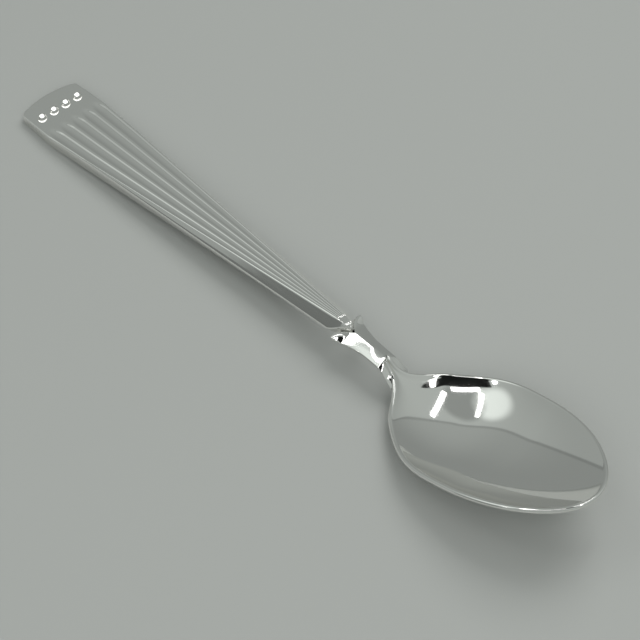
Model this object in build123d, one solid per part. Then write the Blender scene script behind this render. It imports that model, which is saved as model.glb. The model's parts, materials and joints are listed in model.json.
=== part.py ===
from build123d import *
import math
import os

# Teaspoon of polished silver: a fluted fan-shaped handle with a row of beads, a ridged neck and an
# egg-shaped bowl, brazed together. It lies on the table on its bowl and on the flat of the handle's end.
# Millimetres and degrees. While it is modelled, X runs from the handle's end (0) to the bowl's tip.

# Handle
handle_length = 75.5        # end of the handle to the corners at the neck
fan_width = 12.6            # width across the shoulders of the fan
fan_shoulder = 9.0          # the sides run parallel this far, then taper
end_width = 12.2            # width at the corners of the end
end_crown = 1.2             # how far the end bows out
end_corner_radius = 0.9
end_thickness = 1.6         # at the end of the handle
waist_width = 4.6           # width where the handle meets the neck
waist_crest_width = 1.5     # width left of the fluted face there
waist_edge_height = 1.6     # upright side of the waist, below the sloping flank
waist_thickness = 3.4
waist_lift = 3.6            # underside above the table at the waist
tongue_length = 3.7         # pointed tongue beyond the corners, seated in the neck
tongue_bulge = 0.3          # how far the tongue's sides bow out

# Flutes
flute_count = 5
flute_start = 8.3           # round ends of the flutes, from the end of the handle
flute_land_share = 0.12     # flat crest left between two flutes, against their spacing
flute_depth_share = 0.18    # depth of a flute against its width

# Beads
bead_count = flute_count - 1
bead_row = 4.4              # row's distance from the end of the handle
bead_pitch = 2.62
bead_diameter = 1.7
bead_seat_depth = 0.2

# Neck
neck_length = 12.9          # corners of the handle to the top of the bowl's heel
collar_step = 0.95          # how far its shoulders stand out past the handle's sides
collar_drop = 0.85          # its ridge starts this far below the handle's crest
collar_depth = 0.3          # and its belly this far below the handle's underside
collar_setback = 1.1        # the neck's shoulders start this far past the handle's corners
collar_round = 0.35         # its front edges are eased this much
neck_slim_width = 3.9
neck_slim_height = 2.7
neck_slim_lift = 3.5        # underside above the table at the slim part
heel_width = 4.4
heel_height = 2.9
root_length = 5.0           # the neck runs on this far into the bowl's heel, where it is cut to fit
belly_faces = 6             # the round belly is filed in this many narrow faces

# Bowl
bowl_width = 25.1           # across the widest place, at the level of the tip
bowl_tip_reach = 23.9       # widest place to the tip
bowl_heel_reach = 15.4      # widest place to the heel, at the level of the tip
bowl_depth = 5.9            # level of the tip to the lowest point, outside
bowl_wall = 0.85
bowl_tilt = 15.9            # the tip points up
rim_flat_start = 12.2       # the rim is flat from here to the tip, ahead of the widest place
rim_dip = 0.55              # then it dips
rim_dip_place = 6.8         # and is lowest this far behind the widest place
heel_rise = 3.0             # at the heel it has climbed this much to the neck
heel_climb = 37.0           # and ends at this slope

braze_gap = 0.05            # room for solder beside a tongue or a bead

tilt = math.radians(bowl_tilt)
slant = Location((0, 0, 0), (0, -bowl_tilt, 0))


def arc_radius(chord, rise):
    """Radius of an arc that rises this much over this half chord."""
    return (chord ** 2 + rise ** 2) / (2 * rise)


# The bowl is turned about an axis above its rim: its sections across are arcs about that axis, and its
# outline along the axis is one arc to the tip and another to the heel.
girth = arc_radius(bowl_width / 2, bowl_depth)
axis_height = girth - bowl_depth
tip_radius = arc_radius(bowl_tip_reach, bowl_depth)
heel_radius = arc_radius(bowl_heel_reach, bowl_depth)

# The heel of the rim, in the bowl's own frame with its origin on the axis, over the widest place
heel_z = heel_rise - axis_height
heel_x = -math.sqrt(heel_radius ** 2 - (heel_radius - girth - heel_z) ** 2)

# The lowest point of the bowl touches the table, and the heel of the rim ends the neck
centre_z = heel_radius - (heel_radius - girth) * math.cos(tilt)
neck_end = handle_length + neck_length
centre_x = neck_end - (heel_x * math.cos(tilt) - heel_z * math.sin(tilt))
heel_top = centre_z + heel_x * math.sin(tilt) + heel_z * math.cos(tilt)
overall_length = centre_x + bowl_tip_reach * math.cos(tilt) + axis_height * math.sin(tilt)
reach = overall_length      # longer than any cut needs to be

# Lines of the handle in side view
underside_slope = waist_lift / (handle_length - fan_shoulder)
crest_end = end_thickness
crest_waist = waist_lift + waist_thickness
crest_slope = (crest_waist - crest_end) / handle_length


def underside(x):
    """Height of the handle's underside, flat on the table up to the fan's shoulder."""
    return max(0.0, (x - fan_shoulder) * underside_slope)


def crest(x):
    """Height of the handle's fluted face."""
    return crest_end + x * crest_slope


def crest_half_width(x):
    """Half the width of the fluted face, which narrows evenly to the neck."""
    share = (x - fan_shoulder) / (handle_length - fan_shoulder)
    return (fan_width + (waist_crest_width - fan_width) * share) / 2


def handle_outline(gap=0.0):
    """The handle from above, with its bowed end and its pointed tongue, grown by a gap."""
    end_y = end_width / 2
    fan_y = fan_width / 2
    waist_y = waist_width / 2
    point = (handle_length + tongue_length, 0)
    mid_x = handle_length + tongue_length / 2 + tongue_bulge
    mid_y = waist_y / 2 + tongue_bulge
    outline = Polyline((end_crown, end_y), (fan_shoulder, fan_y), (handle_length, waist_y))
    outline += ThreePointArc((handle_length, waist_y), (mid_x, mid_y), point)
    outline += ThreePointArc(point, (mid_x, -mid_y), (handle_length, -waist_y))
    outline += Polyline((handle_length, -waist_y), (fan_shoulder, -fan_y), (end_crown, -end_y))
    outline += ThreePointArc((end_crown, -end_y), (0, 0), (end_crown, end_y))
    face = make_face(outline)
    corners = face.vertices().sort_by(Axis.X)[:2]
    face = fillet(corners, end_corner_radius)
    return offset(face, gap) if gap else face


def handle_blank(top, gap=0.0):
    """The outline raised from the handle's underside to a plane given by its heights at 0 and at the waist."""
    slope = (top[1] - top[0]) / handle_length
    before = -end_thickness
    side = make_face(Polyline(
        (before, 0), (fan_shoulder, 0), (reach, underside(reach)),
        (reach, top[0] + reach * slope), (before, top[0] + before * slope), close=True))
    slab = extrude(Plane.XZ * side, fan_width, both=True)
    return extrude(handle_outline(gap), 2 * reach, both=True) & slab


def flute_cutter(number):
    """A cone along one flute with a round end. All the flutes run together at one point past the neck."""
    run = fan_width - waist_crest_width
    meet_x = fan_shoulder + (handle_length - fan_shoulder) * fan_width / run
    spacing = 2 * crest_half_width(flute_start) / flute_count
    width = spacing * (1 - flute_land_share)
    depth = width * flute_depth_share
    radius = width ** 2 / (8 * depth) + depth / 2
    y = (number - (flute_count - 1) / 2) * spacing
    big_end = Vector(flute_start + radius, y, crest(flute_start + radius) + radius - depth)
    meeting = Vector(meet_x, 0, crest(meet_x))
    axis = meeting - big_end
    cone = Plane(origin=big_end, z_dir=axis) * Cone(
        radius, radius / 100, axis.length, align=(Align.CENTER, Align.CENTER, Align.MIN))
    return cone + Pos(*big_end) * Sphere(radius)


def bead_plane(number):
    """The fluted face at one bead, with its Z square to the face."""
    y = (number - (bead_count - 1) / 2) * bead_pitch
    return Plane(origin=(bead_row, y, crest(bead_row)), x_dir=(1, 0, crest_slope), z_dir=(-crest_slope, 0, 1))


def bead(number):
    """A round bead, cut flat where it sits in its seat."""
    radius = bead_diameter / 2
    below = math.degrees(math.asin(bead_seat_depth / radius))
    return bead_plane(number) * Sphere(radius, arc_size1=-below, align=None)


def handle():
    """Fluted fan with sloping flanks, a tongue for the neck and a seat for each bead."""
    body = handle_blank((crest_end, crest_waist))
    edge_z = waist_lift + waist_edge_height
    for side in (1, -1):
        upper = Vector(fan_shoulder, side * crest_half_width(fan_shoulder), crest(fan_shoulder))
        crest_corner = Vector(handle_length, side * waist_crest_width / 2, crest_waist)
        edge_corner = Vector(handle_length, side * waist_width / 2, edge_z)
        along = crest_corner - upper
        outward = along.cross(edge_corner - crest_corner) * side
        flank = Plane(origin=upper, x_dir=along, z_dir=outward)
        body = split(body, bisect_by=flank, keep=Keep.BOTTOM)
    for number in range(flute_count):
        body -= flute_cutter(number)
    for number in range(bead_count):
        seat = Cylinder(bead_diameter / 2 + braze_gap, bead_seat_depth,
                        align=(Align.CENTER, Align.CENTER, Align.MAX))
        body -= bead_plane(number) * seat
    return body


def neck_section(x, width, top, height):
    """Section across the neck: two flanks that meet in a ridge, over a belly of narrow faces."""
    half = width / 2
    drop = height / 2
    turns = [math.pi * step / belly_faces for step in range(belly_faces + 1)]
    belly = [(half * math.cos(turn), top - drop - drop * math.sin(turn)) for turn in turns]
    plane = Plane(origin=(x, 0, 0), x_dir=(0, 1, 0), z_dir=(1, 0, 0))
    return plane * make_face(Polyline((0, top), *belly, close=True))


def turned_bowl(inset=0.0):
    """The whole turned form, tip along X, with its surface drawn in by an inset."""
    top = girth - inset

    def end(radius):
        return math.sqrt((radius - inset) ** 2 - (radius - girth) ** 2)

    def half(radius, side):
        middle = math.asin(end(radius) / (radius - inset)) / 2
        x = (radius - inset) * math.sin(middle)
        z = (radius - inset) * math.cos(middle) - radius + girth
        return ThreePointArc((0, -top), (side * x, -z), (side * end(radius), 0))

    outline = half(tip_radius, 1)
    outline += Line((end(tip_radius), 0), (-end(heel_radius), 0))
    outline += half(heel_radius, -1)
    return revolve(Plane.XZ * make_face(outline), Axis.X)


def set_bowl(shape):
    """Tilt a shape from the bowl's own frame and set it on the table behind the neck."""
    return Pos(centre_x, 0, centre_z) * slant * shape


def bowl_underside(x):
    """Height of the bowl's underside along its middle, towards the heel."""
    across = x - centre_x + (heel_radius - girth) * math.sin(tilt)
    return heel_radius - math.sqrt(heel_radius ** 2 - across ** 2)


def neck():
    """Ridged neck: shoulders round the handle's tongue, a slim middle and a root cut to fit the bowl."""
    front = handle_length + collar_setback
    slim = (front + neck_end) / 2
    front_top = crest(front) - collar_drop
    front_height = front_top - underside(front) + collar_depth
    slim_top = neck_slim_lift + neck_slim_height
    root = neck_end + root_length
    root_top = bowl_underside(root) + bowl_wall / 2 + heel_height
    collar = front + collar_round
    collar_width = waist_width + 2 * collar_step
    shoulders = neck_section(collar, collar_width, front_top, front_height)
    face = neck_section(
        front, collar_width - 2 * collar_round, front_top - collar_round, front_height - 2 * collar_round)
    body = loft([
        shoulders,
        neck_section(slim, neck_slim_width, slim_top, neck_slim_height),
        neck_section(neck_end, heel_width, heel_top, heel_height),
        neck_section(root, heel_width, root_top, heel_height),
    ])
    body += loft([face, shoulders], ruled=True)
    body -= handle_blank((reach, reach), braze_gap)
    return body - set_bowl(turned_bowl())


def bowl():
    """Turned shell whose rim is flat at the tip, dips, and climbs out clear of the wall at the heel."""
    climb = math.radians(heel_climb)
    flat = (rim_flat_start, -axis_height)
    dip = (-rim_dip_place, -axis_height - rim_dip)
    run = Vector(-math.cos(climb), math.sin(climb))
    clear = Vector(heel_x, heel_z) + run * 2 * bowl_wall
    beyond = clear + run * bowl_depth
    rim = Line((reach, -axis_height), flat)
    rim += Spline(flat, dip, clear, tangents=((-1, 0), run))
    rim += Polyline(clear, beyond, (beyond.X, reach), (reach, reach), (reach, -axis_height))
    over_rim = extrude(Plane.XZ * make_face(rim), bowl_width, both=True)
    return set_bowl(turned_bowl() - turned_bowl(bowl_wall) - over_rim)


pieces = {"handle": handle(), "neck": neck(), "bowl": bowl()}
for number in range(bead_count):
    pieces[f"bead_{number + 1}"] = bead(number)

os.makedirs("parts", exist_ok=True)
for name, piece in pieces.items():
    export_step(Pos(-overall_length / 2, 0, 0) * piece, f"parts/{name}.step")
print(f"overall length {overall_length:.2f} mm")
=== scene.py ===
import bisect
import json
import math

import bmesh
import bpy
from mathutils import Matrix, Vector

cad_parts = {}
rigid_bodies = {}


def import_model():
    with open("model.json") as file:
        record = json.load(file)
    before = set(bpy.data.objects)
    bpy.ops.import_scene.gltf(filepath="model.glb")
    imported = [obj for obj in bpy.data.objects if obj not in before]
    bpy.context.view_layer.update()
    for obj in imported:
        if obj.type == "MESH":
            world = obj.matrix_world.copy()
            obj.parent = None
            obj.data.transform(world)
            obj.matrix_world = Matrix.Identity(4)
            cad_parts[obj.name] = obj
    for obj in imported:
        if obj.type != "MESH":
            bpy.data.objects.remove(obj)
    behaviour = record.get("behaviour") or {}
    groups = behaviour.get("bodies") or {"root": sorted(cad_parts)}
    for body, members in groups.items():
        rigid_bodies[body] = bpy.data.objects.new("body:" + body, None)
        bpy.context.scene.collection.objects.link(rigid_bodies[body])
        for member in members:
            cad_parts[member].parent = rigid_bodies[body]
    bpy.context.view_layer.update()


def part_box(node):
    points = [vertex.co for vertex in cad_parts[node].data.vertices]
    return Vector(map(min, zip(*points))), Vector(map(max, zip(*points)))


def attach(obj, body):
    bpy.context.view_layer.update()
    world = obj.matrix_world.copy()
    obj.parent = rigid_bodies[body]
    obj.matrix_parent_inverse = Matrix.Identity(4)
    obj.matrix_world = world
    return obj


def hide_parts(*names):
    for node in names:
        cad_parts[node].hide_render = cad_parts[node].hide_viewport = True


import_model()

bl_info = {
    "name": "Fluted Teaspoon",
    "version": (1, 0, 0),
    "blender": (4, 5, 0),
    "location": "View3D > Sidebar > Teaspoon",
    "description": "Polished silver teaspoon with a fluted handle, four beads and an egg-shaped bowl",
    "category": "Add Mesh",
}


def mm(value):
    """Millimetres as metres."""
    return value / 1000.0


# Everything is worked out from the end of the handle, as the solids are, and set down in the frame's place.
END_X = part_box("handle")[0].x
TONGUE_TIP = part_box("handle")[1].x - END_X

SEAM = mm(0.0005)       # points nearer than this are one point
TINY = 1e-6             # keeps a division from nought


def length(name, description, default):
    """A size that a user can change, in metres."""
    return bpy.props.FloatProperty(
        name=name, description=description, default=default, min=0.0, unit="LENGTH", precision=5)


def angle(name, description, degrees):
    """An angle that a user can change."""
    return bpy.props.FloatProperty(
        name=name, description=description, default=math.radians(degrees), unit="ROTATION")


def position(name, description, default):
    """A place to either side of the origin that a user can change, in metres."""
    return bpy.props.FloatProperty(name=name, description=description, default=default, unit="LENGTH")


def share(name, description, default):
    """A plain number between nothing and all."""
    return bpy.props.FloatProperty(
        name=name, description=description, default=default, min=0.0, max=1.0, subtype="FACTOR")


def colour(name, description, hex_value):
    """A colour that a user can change, given as an sRGB hex value."""
    return bpy.props.FloatVectorProperty(
        name=name, description=description, default=linear(hex_value),
        size=3, subtype="COLOR", min=0.0, max=1.0)


def linear(hex_value):
    """An sRGB hex colour as linear red, green and blue."""
    parts = [int(hex_value[i:i + 2], 16) / 255 for i in (1, 3, 5)]
    return tuple(c / 12.92 if c <= 0.04045 else ((c + 0.055) / 1.055) ** 2.4 for c in parts)


class TeaspoonHandle(bpy.types.PropertyGroup):
    """Sizes of the fluted handle and its beads."""

    corner_x: length("Length", "End of the handle to its corners at the neck", mm(75.5))
    fan_width: length("Fan width", "Width across the shoulders of the fan", mm(12.6))
    fan_shoulder: length("Fan shoulder", "The sides run parallel this far from the end", mm(9.0))
    end_width: length("End width", "Width at the corners of the end", mm(12.2))
    end_crown: length("End crown", "How far the end bows out", mm(1.2))
    corner_radius: length("End corners", "Radius of the end's corners", mm(0.9))
    end_thickness: length("End thickness", "Thickness at the end", mm(1.6))
    waist_width: length("Waist width", "Width where the handle meets the neck", mm(4.6))
    waist_crest: length("Waist crest", "Width left of the fluted face there", mm(1.5))
    waist_edge: length("Waist side", "Upright side of the waist, below the flank", mm(1.6))
    waist_thickness: length("Waist thickness", "Thickness where the handle meets the neck", mm(3.4))
    waist_lift: length("Waist lift", "Underside above the table at the waist", mm(3.6))
    tongue_fall: length("Tongue fall", "How far the face falls to the tip of the tongue", mm(0.8))
    undercut: length("Undercut", "How far the sides lean in under the waist", mm(1.0))
    edge_round: length("Edge rounding", "Radius that polishing has left on the edges", mm(0.22))
    flute_start: length("Flute start", "Round ends of the flutes, from the end", mm(7.6))
    flute_run: length("Flute run", "Length over which a flute gets to its full depth", mm(3.2))
    flute_depth: share("Flute depth", "Depth of a flute against its width", 0.09)
    ridge_share: share("Ridge", "Rounded ridge between two flutes, against their spacing", 0.14)
    bead_row: length("Bead row", "The row's distance from the end", mm(4.4))
    bead_pitch: length("Bead pitch", "Spacing of the beads", mm(2.62))
    bead_diameter: length("Bead diameter", "Diameter of a bead", mm(1.7))


class TeaspoonNeck(bpy.types.PropertyGroup):
    """Sizes of the ridged neck."""

    collar_x: length("Collar", "Shoulders of the neck, from the handle's end", mm(77.2))
    collar_half: length("Collar half width", "Half the width over the shoulders", mm(3.4))
    collar_ridge: length("Collar ridge", "Height of the ridge at the collar", mm(5.95))
    collar_eaves: length("Collar eaves", "Height of the shoulders", mm(5.55))
    collar_belly: length("Collar belly", "Height of the underside at the collar", mm(3.4))
    collar_round: length("Collar rounding", "Radius of the collar's front edge", mm(0.5))
    groove: length("Groove", "Gap between the handle's tongue and the collar", mm(0.12))
    flare_half: length("Flare half width", "Half the width beside the tip of the handle's tongue", mm(2.65))
    flare_eaves: length("Flare eaves", "Height of the sides there", mm(4.95))
    slim_x: length("Slim place", "Where the neck is slimmest, from the handle's end", mm(83.5))
    slim_half: length("Slim half width", "Half the width there", mm(1.83))
    slim_ridge: length("Slim ridge", "Height of the ridge there", mm(5.87))
    slim_eaves: length("Slim eaves", "Height of the sides there", mm(5.03))
    slim_belly: length("Slim belly", "Height of the underside there", mm(3.7))
    heel_half: length("Heel half width", "Half the width at the bowl's heel", mm(1.8))
    heel_eaves: length("Heel eaves", "Height of the sides there", mm(4.95))
    heel_belly: length("Heel belly", "Height of the underside there", mm(3.2))
    root_x: length("Root", "Where the neck has run out under the bowl", mm(91.0))
    root_half: length("Root half width", "Half the width there", mm(2.3))
    root_eaves: length("Root eaves", "Height of the sides there", mm(2.75))
    root_belly: length("Root belly", "Height of the underside there", mm(2.05))
    fullness: share("Fullness", "How far the flanks swell out", 0.12)


class TeaspoonBowl(bpy.types.PropertyGroup):
    """Sizes of the egg-shaped bowl."""

    widest_x: length("Widest place", "Widest place of the bowl's form, from the handle's end", mm(102.5))
    width: length("Width", "Across the widest place, at the level of the tip", mm(26.70))
    tip_reach: length("Tip reach", "Widest place to the tip", mm(26.58))
    heel_reach: length("Heel reach", "Widest place to the heel, at the level of the tip", mm(15.97))
    depth: length("Depth", "Level of the tip to the lowest point, outside", mm(5.9))
    wall: length("Wall", "Thickness of the wall and of the rounded rim", mm(0.85))
    tilt: angle("Tilt", "How far the tip points up", 15.9)
    rim_drop: length("Rim drop", "Rim's inner edge below the level of the tip", mm(0.21))
    rim_flat: length("Flat rim", "The rim is flat from here to the tip", mm(17.0))
    rim_dip: length("Rim dip", "How far the rim dips behind the widest place", mm(0.65))
    rim_dip_x: length("Dip place", "Where it is lowest, behind the widest place", mm(4.0))
    heel_x: length("Heel point", "The pointed heel, behind the widest place", mm(18.83))
    heel_rise: length("Heel rise", "How far the rim has climbed at the heel's point", mm(4.61))
    heel_pinch: length("Heel pinch", "The heel narrows to its point over this length", mm(6.93))
    heel_sweep: bpy.props.FloatProperty(
        name="Heel sweep", description="How late the rim starts to climb to the heel", default=3.59, min=1.0)


class TeaspoonFinish(bpy.types.PropertyGroup):
    """Colours of the silver and the stage."""

    silver: colour("Silver", "Polished silver, seen straight on", "#F4F3F0")
    roughness: share("Polish", "Roughness of the mirror polish", 0.05)
    marks: length("Polishing marks", "Spacing of the fine marks that cloth leaves", mm(0.25))
    floor: colour("Floor", "Pale floor under the spoon", "#A5A7A4")
    room: colour("Room", "Dim walls and ceiling round the spoon", "#9CA19E")


class TeaspoonCamera(bpy.types.PropertyGroup):
    """Where the camera stands."""

    azimuth: angle("Azimuth", "Turn about the upright axis", 46.65)
    elevation: angle("Elevation", "Height above the table, as an angle", 50.51)
    distance: length("Distance", "Camera to the point it looks at", mm(325.2))
    target_x: position("Target X", "Point on the table that the camera looks at, along the spoon", mm(5.54))
    target_y: position("Target Y", "The same point, across the spoon", mm(1.03))
    lens: bpy.props.FloatProperty(name="Lens", description="Focal length", default=112.5, unit="CAMERA")


GROUPS = {
    "teaspoon_handle": TeaspoonHandle,
    "teaspoon_neck": TeaspoonNeck,
    "teaspoon_bowl": TeaspoonBowl,
    "teaspoon_finish": TeaspoonFinish,
    "teaspoon_camera": TeaspoonCamera,
}


def sizes(group):
    """One of the property groups of the scene."""
    return getattr(bpy.context.scene, "teaspoon_" + group)


# Small tools for curves

def clamp(value):
    """A value held between nought and one."""
    return min(1.0, max(0.0, value))


def smooth_step(start, end, x):
    """Nought before start, one after end, and an even curve between."""
    t = clamp((x - start) / (end - start))
    return t * t * (3 - 2 * t)


def through(keys, x):
    """A smooth curve through (place, value) keys in rising order, level at its two ends."""
    if x <= keys[0][0]:
        return keys[0][1]
    if x >= keys[-1][0]:
        return keys[-1][1]
    slopes = [0.0]
    for (x0, v0), (x1, v1), (x2, v2) in zip(keys, keys[1:], keys[2:]):
        before = (v1 - v0) / (x1 - x0)
        after = (v2 - v1) / (x2 - x1)
        slopes.append(0.0 if before * after <= 0 else 2 * before * after / (before + after))
    slopes.append(0.0)
    for i, ((x0, v0), (x1, v1)) in enumerate(zip(keys, keys[1:])):
        if x <= x1:
            run = x1 - x0
            t = (x - x0) / run
            rise = v0 + t * t * (3 - 2 * t) * (v1 - v0)
            return rise + run * t * (1 - t) * (slopes[i] * (1 - t) - slopes[i + 1] * t)


def rounding(radius, inside):
    """How far a rounded edge falls away at a distance inside the outline."""
    if inside >= radius:
        return 0.0
    return radius - math.sqrt(max(0.0, radius ** 2 - (radius - inside) ** 2))


# The bowl's form, in its own frame: the origin is on the axis over the widest place, X runs to the tip

class BowlForm:
    """The turned form of the bowl's inside, its rim and its place on the table."""

    samples = 600
    blend = mm(7)           # the arcs to tip and heel run into each other this far to either side
    least_width = 1e-3      # share of its width that the form keeps at the heel's point

    def __init__(self):
        bowl = sizes("bowl")
        self.bowl = bowl
        self.girth = self.arc_radius(bowl.width / 2, bowl.depth)
        self.level = bowl.depth - self.girth
        self.tip_radius = self.arc_radius(bowl.tip_reach, bowl.depth)
        self.heel_radius = self.arc_radius(bowl.heel_reach, bowl.depth)
        centre_z = self.heel_radius - (self.heel_radius - self.girth) * math.cos(bowl.tilt)
        turn = Matrix.Rotation(-bowl.tilt, 4, "Y")
        self.place = Matrix.Translation((bowl.widest_x, 0, centre_z)) @ turn
        self.middle = self.rim_tip() / 2 - bowl.heel_x / 2
        self.rim = [self.rim_point(step / self.samples) for step in range(self.samples + 1)]
        self.run = [0.0]
        for before, after in zip(self.rim, self.rim[1:]):
            self.run.append(self.run[-1] + (after - before).length)

    @staticmethod
    def arc_radius(chord, rise):
        """Radius of an arc that rises this much over this half chord."""
        return (chord ** 2 + rise ** 2) / (2 * rise)

    def rim_tip(self):
        """How far the rim's inner edge reaches at the tip."""
        radius = self.tip_radius - self.bowl.wall
        z = self.level - self.bowl.rim_drop
        return math.sqrt(radius ** 2 - (self.tip_radius - self.girth - z) ** 2)

    def girth_at(self, x):
        """Radius of the inside about the axis, with the two arcs of its outline run into each other."""
        to_tip = smooth_step(-self.blend, self.blend, x)

        def sag(radius):
            inner = radius - self.bowl.wall
            return inner - math.sqrt(max(0.0, inner ** 2 - x ** 2))

        inside = self.girth - self.bowl.wall
        return inside - sag(self.heel_radius) * (1 - to_tip) - sag(self.tip_radius) * to_tip

    def pinch_at(self, x):
        """How much of its width the form keeps, which runs to nothing at the pointed heel."""
        heel = -self.bowl.heel_x
        return max(smooth_step(heel, heel + self.bowl.heel_pinch, x), self.least_width)

    def rim_height(self, x):
        """Height of the rim: flat at the tip, a dip, and a climb to the heel's point."""
        bowl = self.bowl
        low = self.level - bowl.rim_drop - bowl.rim_dip
        if x >= -bowl.rim_dip_x:
            return low + bowl.rim_dip * smooth_step(-bowl.rim_dip_x, bowl.rim_flat, x)
        t = (-bowl.rim_dip_x - x) / (bowl.heel_x - bowl.rim_dip_x)
        return low + (bowl.heel_rise + bowl.rim_dip) * t ** bowl.heel_sweep

    def rim_point(self, part):
        """A point of the rim's inner edge, from the heel to the tip on one side."""
        x = self.middle - (self.rim_tip() - self.middle) * math.cos(part * math.pi)
        z = self.rim_height(x)
        return Vector((x, self.pinch_at(x) * math.sqrt(max(0.0, self.girth_at(x) ** 2 - z ** 2)), z))

    def rim_at(self, turn):
        """The rim at a share of a full turn, from the tip round by the heel, in even steps."""
        side = 1 if turn <= 0.5 else -1
        far = self.run[-1] * abs(1 - 2 * turn)
        index = min(max(bisect.bisect_left(self.run, far), 1), self.samples)
        part = (far - self.run[index - 1]) / (self.run[index] - self.run[index - 1])
        spot = self.rim[index - 1].lerp(self.rim[index], part)
        return Vector((spot.x, side * spot.y, spot.z))

    def inside(self, out, turn):
        """A point of the inside: out from 0 in the middle to 1 at the rim, at a share of a full turn."""
        rim = self.rim_at(turn)
        x = self.middle + out * (rim.x - self.middle)
        y = out * rim.y
        z = -math.sqrt(max(0.0, self.girth_at(x) ** 2 - (y / self.pinch_at(x)) ** 2))
        return Vector((x, y, z))

    def outward(self, spot):
        """Direction out of the inside at one of its points, square to it."""
        step = mm(0.01)
        keep = self.pinch_at(spot.x)
        keep_rate = (self.pinch_at(spot.x + step) - self.pinch_at(spot.x - step)) / (2 * step)
        girth = self.girth_at(spot.x)
        girth_rate = (self.girth_at(spot.x + step) - self.girth_at(spot.x - step)) / (2 * step)
        along = -spot.y ** 2 * keep_rate / keep ** 3 - girth * girth_rate
        return Vector((along, spot.y / keep ** 2, spot.z)).normalized()


def grid_piece(name, columns, rows, place, depth=None, close_ends=False):
    """A mesh from a flat grid whose points are set by place(across, along), both from 0 to 1.

    With a depth the grid is first extruded to a slab, and place is also told which points are its underside.
    """
    bm = bmesh.new()
    bmesh.ops.create_grid(bm, x_segments=columns, y_segments=rows, size=0.5)
    if depth:
        lower = bmesh.ops.extrude_face_region(bm, geom=bm.faces[:])["geom"]
        for vert in lower:
            if isinstance(vert, bmesh.types.BMVert):
                vert.co.z = -depth
    for vert in bm.verts:
        across = vert.co.x + 0.5
        along = vert.co.y + 0.5
        vert.co = place(across, along, vert.co.z < 0) if depth else place(across, along)
    if close_ends:
        bmesh.ops.remove_doubles(bm, verts=bm.verts[:], dist=SEAM)
        bmesh.ops.holes_fill(bm, edges=bm.edges[:])
    return finish_mesh(name, bm)


def finish_mesh(name, bm):
    """Close the seams of a bmesh, turn its faces outwards and make it an object of polished silver."""
    bmesh.ops.remove_doubles(bm, verts=bm.verts[:], dist=SEAM)
    bmesh.ops.dissolve_degenerate(bm, edges=bm.edges[:], dist=SEAM)
    bmesh.ops.recalc_face_normals(bm, faces=bm.faces[:])
    for face in bm.faces:
        face.smooth = True
    bmesh.ops.translate(bm, verts=bm.verts[:], vec=(END_X, 0, 0))
    mesh = bpy.data.meshes.new(name)
    bm.to_mesh(mesh)
    bm.free()
    mesh.materials.append(polished_silver())
    piece = bpy.data.objects.new(name, mesh)
    bpy.context.scene.collection.objects.link(piece)
    return piece


def set_down(piece, *nodes):
    """A finished piece rides on the spoon and stands for its solids."""
    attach(piece, "root")
    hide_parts(*nodes)


# Materials

def add_node(tree, kind, links=None, **settings):
    """Add a node with its settings, and links from other nodes' sockets to its inputs."""
    node = tree.nodes.new(kind)
    for key, value in settings.items():
        if key in node.inputs:
            node.inputs[key].default_value = value
        else:
            setattr(node, key, value)
    for key, socket in (links or {}).items():
        tree.links.new(socket, node.inputs[key])
    return node


def polished_silver():
    """Silver, struck, filed and mirror-polished on a cloth wheel.

    The eye gets a bright, nearly neutral mirror, a little softened by fine marks that run along the spoon.
    """
    found = bpy.data.materials.get("polished_silver_mirror")
    if found:
        return found
    finish = sizes("finish")
    material = bpy.data.materials.new("polished_silver_mirror")
    material.use_nodes = True
    tree = material.node_tree
    shader = tree.nodes["Principled BSDF"]
    shader.inputs["Base Color"].default_value = (*finish.silver, 1.0)
    shader.inputs["Metallic"].default_value = 1.0
    spot = add_node(tree, "ShaderNodeTexCoord")
    # real marks are finer: these are drawn coarse enough to show, and ten times as long as they are wide
    per_mark = 1 / finish.marks
    stretch = add_node(
        tree, "ShaderNodeMapping", {"Vector": spot.outputs["Object"]},
        Scale=(per_mark / 10, per_mark, per_mark))
    marks = add_node(
        tree, "ShaderNodeTexNoise", {"Vector": stretch.outputs["Vector"]},
        Scale=1.0, Detail=3.0, Roughness=0.6)
    finest = finish.roughness * 0.7
    dullest = finish.roughness * 1.6
    polish = add_node(
        tree, "ShaderNodeMapRange", {"Value": marks.outputs["Fac"]},
        **{"From Min": 0.3, "From Max": 0.7, "To Min": finest, "To Max": dullest})
    tree.links.new(polish.outputs["Result"], shader.inputs["Roughness"])
    return material


def matt_surface(name, shade):
    """A table top or card with a matt coat. The eye gets its even colour and soft shadows, and no gloss."""
    material = bpy.data.materials.new(name)
    material.use_nodes = True
    shader = material.node_tree.nodes["Principled BSDF"]
    shader.inputs["Base Color"].default_value = (*shade, 1.0)
    shader.inputs["Roughness"].default_value = 0.9
    return material


# Pieces

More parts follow.
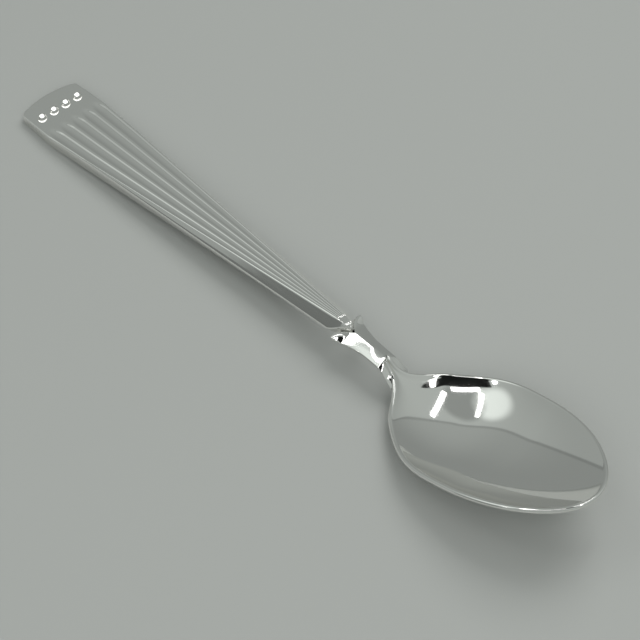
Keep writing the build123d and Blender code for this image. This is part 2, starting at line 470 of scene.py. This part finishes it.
class HandleForm:
    """Heights and outlines of the handle, from its end to the tip of its tongue."""

    flutes = 5
    tongue_bulge = 0.25     # how full the tongue's sides are
    tongue_face = 0.7       # the face's share of the tongue's width

    def __init__(self):
        self.sizes = sizes("handle")
        s = self.sizes
        self.taper = s.corner_x - s.fan_shoulder
        self.crest_slope = (s.waist_lift + s.waist_thickness - s.end_thickness) / s.corner_x

    def crest(self, x):
        """Height of the fluted face, which falls away to the tip of the tongue."""
        s = self.sizes
        past = clamp((x - s.corner_x) / (TONGUE_TIP - s.corner_x))
        return s.end_thickness + x * self.crest_slope - s.tongue_fall * past ** 2

    def underside(self, x):
        """Height of the underside, flat on the table up to the fan's shoulder."""
        s = self.sizes
        return max(0.0, (x - s.fan_shoulder) * s.waist_lift / self.taper)

    def half_width(self, x):
        """Half the width of the outline."""
        s = self.sizes
        if x < s.fan_shoulder:
            return (s.end_width + (s.fan_width - s.end_width) * x / s.fan_shoulder) / 2
        if x < s.corner_x:
            return (s.fan_width + (s.waist_width - s.fan_width) * (x - s.fan_shoulder) / self.taper) / 2
        left = (TONGUE_TIP - x) / (TONGUE_TIP - s.corner_x)
        return s.waist_width / 2 * (left + self.tongue_bulge * left * (1 - left))

    def outer_ridge(self, x):
        """Half the width of the fluted face, from the middle to its outermost ridge."""
        s = self.sizes
        part = (x - s.fan_shoulder) / self.taper
        wide = (s.fan_width + (s.waist_crest - s.fan_width) * part) / 2
        half = self.half_width(x)
        return min(wide, half - s.edge_round if x < s.corner_x else self.tongue_face * half)

    def flank_drop(self, x):
        """How far the flank falls from the outermost ridge to the handle's side."""
        s = self.sizes
        full = s.waist_thickness - s.waist_edge
        if x < s.corner_x:
            return full * clamp((x - s.fan_shoulder) / self.taper)
        return full * (self.half_width(x) - self.outer_ridge(x)) / (s.waist_width - s.waist_crest) * 2

    def end_x(self, y):
        """The bowed end with its rounded corners."""
        s = self.sizes
        half = s.end_width / 2
        bow = s.end_crown * (y / half) ** 2
        return bow + rounding(s.corner_radius, max(0.0, half - abs(y)))

    def flute(self, x, across):
        """How deep the flutes are at a place across the face, counted in flutes from one outer ridge."""
        s = self.sizes
        width = 2 * self.outer_ridge(x) / self.flutes
        from_middle = 2 * (across - math.floor(across)) - 1 if across < self.flutes else 1.0
        before = max(0.0, s.flute_start + s.flute_run - x) / s.flute_run
        out = math.hypot(from_middle, before)
        ridge = 2 * s.ridge_share
        if out < 1 - ridge:
            hollow = 1 - out ** 2 / (1 - ridge)
        else:
            hollow = clamp(1 - out) ** 2 / ridge
        return s.flute_depth * width * hollow


class TEASPOON_OT_handle(bpy.types.Operator):
    """Build the fluted handle with its bowed end, sloping flanks and pointed tongue"""

    bl_idname = "teaspoon.handle"
    bl_label = "Handle"

    per_flute = 24
    flank_lane = 0.5        # a flank has this share of the columns of a flute
    rows = 220
    end_rows = 6            # rows on the rounded edge of the end
    crowding = 1.5          # the other rows lie closer together towards the end
    most_lean = 0.5         # a side leans in by no more than this share of the half width

    def execute(self, context):
        form = HandleForm()
        s = form.sizes
        lanes = form.flutes + 2 * self.flank_lane

        def spread(along):
            """Places along the handle, close together at the end, where the flutes start."""
            edge = self.end_rows / self.rows
            if along < edge:
                return s.edge_round * (1 - math.cos(along / edge * math.pi / 2))
            t = (along - edge) / (1 - edge)
            return s.edge_round + (TONGUE_TIP - s.edge_round) * t ** self.crowding

        def flank_y(flank, ridge, half):
            """Distance from the middle: half the flank runs flat to the edge, and half turns round it."""
            if flank < 0.5:
                return ridge + (half - s.edge_round - ridge) * 2 * flank
            return half - s.edge_round * (1 - math.sin(clamp(2 * flank - 1) * math.pi / 2))

        def place(across, along, lower):
            start = spread(along)
            lane = across * lanes - self.flank_lane
            ridge = form.outer_ridge(start)
            half = form.half_width(start)
            flank = max(-lane, lane - form.flutes, 0.0) / self.flank_lane
            side = -1 if lane < form.flutes / 2 else 1
            if flank:
                y = side * flank_y(flank, ridge, half)
            else:
                y = (2 * lane / form.flutes - 1) * ridge
            bow = form.end_x(y) * max(0.0, 1 - start / s.fan_shoulder) ** 2
            x = start + bow
            inside = min(half - abs(y), start)
            low = form.underside(x)
            if lower:
                lean = s.undercut * clamp((x - s.fan_shoulder) / form.taper) / half
                kept = 1 - min(lean, self.most_lean)
                return Vector((x, y * kept, low + rounding(s.edge_round, inside)))
            high = form.crest(x) - rounding(s.edge_round, inside)
            if flank:
                out = (abs(y) - ridge) / max(half - ridge, TINY)
                return Vector((x, y, high - form.flank_drop(x) * out))
            return Vector((x, y, high - form.flute(x, clamp(lane / form.flutes) * form.flutes)))

        piece = grid_piece("handle_fluted", int(lanes * self.per_flute), self.rows, place, depth=1.0)
        set_down(piece, "handle")
        return {"FINISHED"}


class TEASPOON_OT_beads(bpy.types.Operator):
    """Build the row of four beads at the end of the handle"""

    bl_idname = "teaspoon.beads"
    bl_label = "Beads"

    count = 4
    steps = 20              # from the top of a bead to its widest place
    around = 48

    def execute(self, context):
        form = HandleForm()
        s = form.sizes
        radius = s.bead_diameter / 2
        foot = -radius / 5      # let into the face by this much
        lean = Matrix.Rotation(-math.atan(form.crest_slope), 4, "Y")
        for number in range(self.count):
            bm = bmesh.new()
            ring = []
            for step in range(self.steps + 1):
                turn = math.pi / 2 * step / self.steps
                ring.append(bm.verts.new((radius * math.sin(turn), 0, radius * math.cos(turn))))
            ring.append(bm.verts.new((radius, 0, foot)))
            ring.append(bm.verts.new((0, 0, foot)))
            outline = [bm.edges.new(pair) for pair in zip(ring, ring[1:])]
            bmesh.ops.spin(bm, geom=ring + outline, cent=(0, 0, 0), axis=(0, 0, 1), angle=math.tau,
                           steps=self.around, use_merge=True)
            y = (number - (self.count - 1) / 2) * s.bead_pitch
            spot = Matrix.Translation((s.bead_row, y, form.crest(s.bead_row)))
            bmesh.ops.transform(bm, matrix=spot @ lean, verts=bm.verts[:])
            piece = finish_mesh(f"bead_{number + 1}_dome", bm)
            set_down(piece, f"bead_{number + 1}")
        return {"FINISHED"}


class TEASPOON_OT_neck(bpy.types.Operator):
    """Build the ridged neck between the handle and the bowl"""

    bl_idname = "teaspoon.neck"
    bl_label = "Neck"

    around = 120
    rows = 150
    crowding = 1.4          # the rows lie closer together towards the collar
    # shares of half the section, from the middle of the top: the ridge and the eaves are here
    ridge_part = 0.25
    eaves_part = 0.6
    least_flank = mm(0.05)  # a flank is never narrower than this
    # past the heel, as shares of the bowl's wall
    ridge_out = 0.5         # the ridges stand this far outside the rim
    ridge_down = 0.1        # and this far below it
    top_down = 0.3          # and the top lies this far under the bowl's inside

    def execute(self, context):
        s = sizes("neck")
        form = BowlForm()
        heel = form.place @ form.rim[0]
        ridge_keys = ((TONGUE_TIP, s.collar_ridge), (s.slim_x, s.slim_ridge), (heel.x, heel.z))
        half_keys = ((s.collar_x, s.collar_half), (TONGUE_TIP, s.flare_half), (s.slim_x, s.slim_half),
                     (heel.x, s.heel_half), (s.root_x, s.root_half))
        eaves_keys = ((s.collar_x, s.collar_eaves), (TONGUE_TIP, s.flare_eaves), (s.slim_x, s.slim_eaves),
                      (heel.x, s.heel_eaves), (s.root_x, s.root_eaves))
        belly_keys = ((s.collar_x, s.collar_belly), (s.slim_x, s.slim_belly), (heel.x, s.heel_belly),
                      (s.root_x, s.root_belly))
        rim = [form.place @ spot for spot in form.rim]
        places = [spot.x for spot in rim]
        wall = form.bowl.wall

        def top(x):
            """Middle of the top and one ridge, as (half width, height). Past the heel they part."""
            if x <= heel.x:
                ridge = (0.0, through(ridge_keys, x))
                return ridge, ridge
            edge = rim[min(bisect.bisect_left(places, x), len(rim) - 1)]
            ridge = (edge.y + wall * self.ridge_out, edge.z - wall * self.ridge_down)
            inner = form.place.inverted() @ Vector((x, 0, edge.z))
            deep = form.place @ Vector((inner.x, 0, -form.girth_at(inner.x)))
            return (0.0, min(deep.z - wall * self.top_down, ridge[1])), ridge

        def front(part):
            """The collar's front edge, drawn out over the tongue and back to the shoulders."""
            down = clamp((part - self.ridge_part) / (self.eaves_part - self.ridge_part))
            nose = TONGUE_TIP + s.groove
            return nose + (s.collar_x - nose) * math.sin(down * math.pi / 2)

        def place(across, along):
            side = -1 if across < 0.5 else 1
            part = abs(across - 0.5) * 2
            start = front(part)
            x = start + (s.root_x - start) * along ** self.crowding
            middle, ridge = top(x)
            eaves_z = through(eaves_keys, x)
            eaves_y = max(through(half_keys, x), ridge[0] + self.least_flank)
            if part < self.ridge_part:
                t = part / self.ridge_part
                y = middle[0] + (ridge[0] - middle[0]) * t
                z = middle[1] + (ridge[1] - middle[1]) * t
            elif part < self.eaves_part:
                t = (part - self.ridge_part) / (self.eaves_part - self.ridge_part)
                swell = s.fullness * t * (1 - t)
                y = ridge[0] + (eaves_y - ridge[0]) * (t + swell)
                z = ridge[1] + (eaves_z - ridge[1]) * (t - swell)
            else:
                turn = (part - self.eaves_part) / (1 - self.eaves_part) * math.pi / 2
                y = eaves_y * math.cos(turn)
                z = eaves_z + (through(belly_keys, x) - eaves_z) * math.sin(turn)
            keep = 1 - rounding(s.collar_round, x - start) / s.collar_half
            return Vector((x, side * y * keep, eaves_z + (z - eaves_z) * keep))

        piece = grid_piece("neck_ridged", self.around, self.rows, place, close_ends=True)
        set_down(piece, "neck")
        return {"FINISHED"}


class TEASPOON_OT_bowl(bpy.types.Operator):
    """Build the bowl as one shell with a rounded rim"""

    bl_idname = "teaspoon.bowl"
    bl_label = "Bowl"

    around = 240
    rows = 150
    lip_start = 0.5         # shares of the rows: the inside ends here
    lip_end = 0.6           # and the rounded lip here
    rim_step = 0.004        # share of a turn over which the rim's direction is taken

    def execute(self, context):
        form = BowlForm()
        wall = form.bowl.wall
        lip_start = self.lip_start
        lip_end = self.lip_end
        step = self.rim_step

        def place(across, along):
            turn = across % 1.0
            if along <= lip_start:
                return form.place @ form.inside(along / lip_start, turn)
            if along >= lip_end:
                spot = form.inside((1 - along) / (1 - lip_end), turn)
                return form.place @ (spot + wall * form.outward(spot))
            half = (along - lip_start) / (lip_end - lip_start) * math.pi
            edge = form.rim_at(turn)
            out_of_wall = form.outward(edge)
            rim_run = form.rim_at((turn + step) % 1.0) - form.rim_at((turn - step) % 1.0)
            up = rim_run.cross(out_of_wall).normalized()
            up = up if up.z > 0 else -up
            centre = edge + out_of_wall * wall / 2
            return form.place @ (centre + wall / 2 * (up * math.sin(half) - out_of_wall * math.cos(half)))

        piece = grid_piece("bowl_shell", self.around, self.rows, place)
        set_down(piece, "bowl")
        return {"FINISHED"}


class TEASPOON_OT_stage(bpy.types.Operator):
    """Set the floor, the soft light and the camera"""

    bl_idname = "teaspoon.stage"
    bl_label = "Stage"

    # strip lamps over the bowl, as the ends of each one's middle line, in metres from the bowl's heel
    strips = (
        ("strip_back", (-0.074, 0.274, 0.5), (0.018, -0.004, 0.5)),
        ("strip_side", (0.004, -0.064, 0.5), (-0.141, -0.227, 0.5)),
        ("strip_front", (-0.164, -0.204, 0.5), (-0.251, 0.009, 0.5)),
        ("strip_end", (0.13, 0.025, 0.48), (0.29, -0.055, 0.48)),
        ("strip_far_end", (-0.19, -0.36, 0.48), (-0.225, -0.405, 0.48)),
    )
    strip_width = 0.032
    strip_light = 4.0
    # a dark card over the bowl, given in the same way, which polished silver needs to show its shape
    card = ((0.23, 0.025, 0.5), (-0.15, -0.378, 0.5))
    card_width = 0.16
    card_colour = "#1A1B1B"
    # two soft lamps that light the floor and aren't mirrored: (name, width, brightness, azimuth, elevation,
    # distance), in metres and degrees
    soft_lamps = (
        ("key", 0.5, 3.4, 195, 55, 0.8),
        ("fill", 0.9, 1.6, 46, 50, 0.9),
    )
    # a wide lamp overhead that only the beads mirror, so that the row stands out as white dots
    bead_lamp_width = 1.2
    bead_lamp_light = 1.4
    bead_lamp_height = 0.5
    # the room's brightness, as steps along a direction: (direction, from, to, brightness before, and after)
    room = (
        ((0.0, 0.0, 1.0), 0.2, 0.9, 0.75, 1.0),              # brighter overhead
        ((-0.304, -0.937, 0.174), 0.967, 0.97, 1.0, 0.48),   # dark low down on the near side
        ((-0.676, 0.653, 0.342), 0.735, 0.75, 1.25, 0.8),    # a wall behind the handle, with a darker edge
        ((-0.676, 0.653, 0.342), 0.76, 0.775, 1.0, 1.25),
        ((-0.235, -0.059, 0.970), 0.94, 0.975, 1.0, 0.65),   # dimmer between the strips
        ((-0.521, -0.301, 0.799), 0.945, 0.985, 1.0, 2.0),   # and a bright patch beside them
    )
    floor_width = 6.0

    def execute(self, context):
        heel = Vector((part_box("bowl")[0].x, 0, 0))
        top = matt_surface("matt_table_top", sizes("finish").floor)
        floor = self.board(context, "floor", self.floor_width, self.floor_width, Matrix(), top)
        self.light_room(context)
        for name, start, end in self.strips:
            self.strip_lamp(context, name, heel + Vector(start), heel + Vector(end))
        for name, width, brightness, azimuth, elevation, distance in self.soft_lamps:
            soft = self.lamp(context, name, width, width, brightness)
            soft.visible_glossy = False
            self.stand(soft, math.radians(azimuth), math.radians(elevation), distance, heel)
        start, end = (heel + Vector(spot) for spot in self.card)
        black = matt_surface("matt_black_card", linear(self.card_colour))
        card = self.board(
            context, "dark_card", (end - start).length, self.card_width, self.laid_between(start, end), black)
        self.light_beads(context)
        self.set_camera(context)
        context.scene.view_settings.view_transform = "Standard"
        return {"FINISHED"}

    def set_camera(self, context):
        """A camera that looks at a point on the table."""
        view = sizes("camera")
        camera = bpy.data.objects.new("camera", bpy.data.cameras.new("camera"))
        camera.data.lens = view.lens
        camera.data.clip_start = 0.01
        context.scene.collection.objects.link(camera)
        target = Vector((view.target_x, view.target_y, 0))
        self.stand(camera, view.azimuth, view.elevation, view.distance, target)
        context.scene.camera = camera

    def light_room(self, context):
        """Dim light from all round, whose brightness changes in steps."""
        world = bpy.data.worlds.new("room")
        context.scene.world = world
        world.use_nodes = True
        tree = world.node_tree
        background = tree.nodes["Background"]
        background.inputs["Color"].default_value = (*sizes("finish").room, 1.0)
        towards = add_node(tree, "ShaderNodeTexCoord").outputs["Generated"]
        strength = None
        for direction, start, end, before, after in self.room:
            facing = add_node(tree, "ShaderNodeVectorMath", {0: towards}, operation="DOT_PRODUCT")
            facing.inputs[1].default_value = direction
            step = add_node(
                tree, "ShaderNodeMapRange", {"Value": facing.outputs["Value"]},
                interpolation_type="SMOOTHSTEP",
                **{"From Min": start, "From Max": end, "To Min": before, "To Max": after})
            if strength is None:
                strength = step.outputs["Result"]
            else:
                both = {0: strength, 1: step.outputs["Result"]}
                strength = add_node(tree, "ShaderNodeMath", both, operation="MULTIPLY").outputs["Value"]
        tree.links.new(strength, background.inputs["Strength"])

    def lamp(self, context, name, wide, high, brightness):
        """A flat lamp of even brightness, where 1 looks white. It faces down until it is turned."""
        data = bpy.data.lights.new(name, "AREA")
        data.shape = "RECTANGLE"
        data.size = wide
        data.size_y = high
        data.energy = brightness * math.pi * wide * high
        thing = bpy.data.objects.new(name, data)
        context.scene.collection.objects.link(thing)
        return thing

    def strip_lamp(self, context, name, start, end):
        """A long lamp between two points over the spoon, facing down."""
        thing = self.lamp(context, name, (end - start).length, self.strip_width, self.strip_light)
        thing.matrix_world = self.laid_between(start, end)

    def light_beads(self, context):
        """The lamp that only the beads mirror."""
        width = self.bead_lamp_width
        overhead = self.lamp(context, "bead_lamp", width, width, self.bead_lamp_light)
        overhead.visible_camera = False
        overhead.matrix_world = Matrix.Translation((0, 0, self.bead_lamp_height))
        row = bpy.data.collections.new("bead_row")
        for number in range(TEASPOON_OT_beads.count):
            row.objects.link(bpy.data.objects[f"bead_{number + 1}_dome"])
        overhead.light_linking.receiver_collection = row

    def board(self, context, name, wide, high, place, material):
        """A flat board with its place in its mesh."""
        bm = bmesh.new()
        bmesh.ops.create_grid(bm, x_segments=1, y_segments=1, size=0.5)
        bmesh.ops.scale(bm, verts=bm.verts[:], vec=(wide, high, 1))
        bmesh.ops.transform(bm, matrix=place, verts=bm.verts[:])
        mesh = bpy.data.meshes.new(name)
        bm.to_mesh(mesh)
        bm.free()
        mesh.materials.append(material)
        thing = bpy.data.objects.new(name, mesh)
        context.scene.collection.objects.link(thing)
        return thing

    @staticmethod
    def laid_between(start, end):
        """Place of a flat thing whose length runs between two points at one height."""
        run = end - start
        return Matrix.Translation((start + end) / 2) @ Matrix.Rotation(math.atan2(run.y, run.x), 4, "Z")

    @staticmethod
    def stand(thing, azimuth, elevation, distance, target):
        """Put a lamp or camera at a turn and height round a target, facing it."""
        back = Vector((math.sin(azimuth) * math.cos(elevation), -math.cos(azimuth) * math.cos(elevation),
                       math.sin(elevation)))
        facing = back.to_track_quat("Z", "Y").to_matrix().to_4x4()
        thing.matrix_world = Matrix.Translation(target + back * distance) @ facing


class TEASPOON_PT_panel(bpy.types.Panel):
    """Sizes of the teaspoon and the steps that build it"""

    bl_idname = "TEASPOON_PT_panel"
    bl_label = "Teaspoon"
    bl_space_type = "VIEW_3D"
    bl_region_type = "UI"
    bl_category = "Teaspoon"

    def draw(self, context):
        for operator in OPERATORS:
            self.layout.operator(operator.bl_idname)
        for group in GROUPS:
            box = self.layout.box()
            properties = getattr(context.scene, group)
            for name in properties.__annotations__:
                box.prop(properties, name)


OPERATORS = (TEASPOON_OT_bowl, TEASPOON_OT_neck, TEASPOON_OT_handle, TEASPOON_OT_beads, TEASPOON_OT_stage)


def register():
    for group, kind in GROUPS.items():
        bpy.utils.register_class(kind)
        setattr(bpy.types.Scene, group, bpy.props.PointerProperty(type=kind))
    for kind in (*OPERATORS, TEASPOON_PT_panel):
        bpy.utils.register_class(kind)


def unregister():
    for kind in reversed((*OPERATORS, TEASPOON_PT_panel)):
        bpy.utils.unregister_class(kind)
    for group, kind in reversed(GROUPS.items()):
        delattr(bpy.types.Scene, group)
        bpy.utils.unregister_class(kind)


def main():
    register()
    bpy.ops.teaspoon.bowl()
    bpy.ops.teaspoon.neck()
    bpy.ops.teaspoon.handle()
    bpy.ops.teaspoon.beads()
    bpy.ops.teaspoon.stage()


if __name__ == "__main__":
    main()
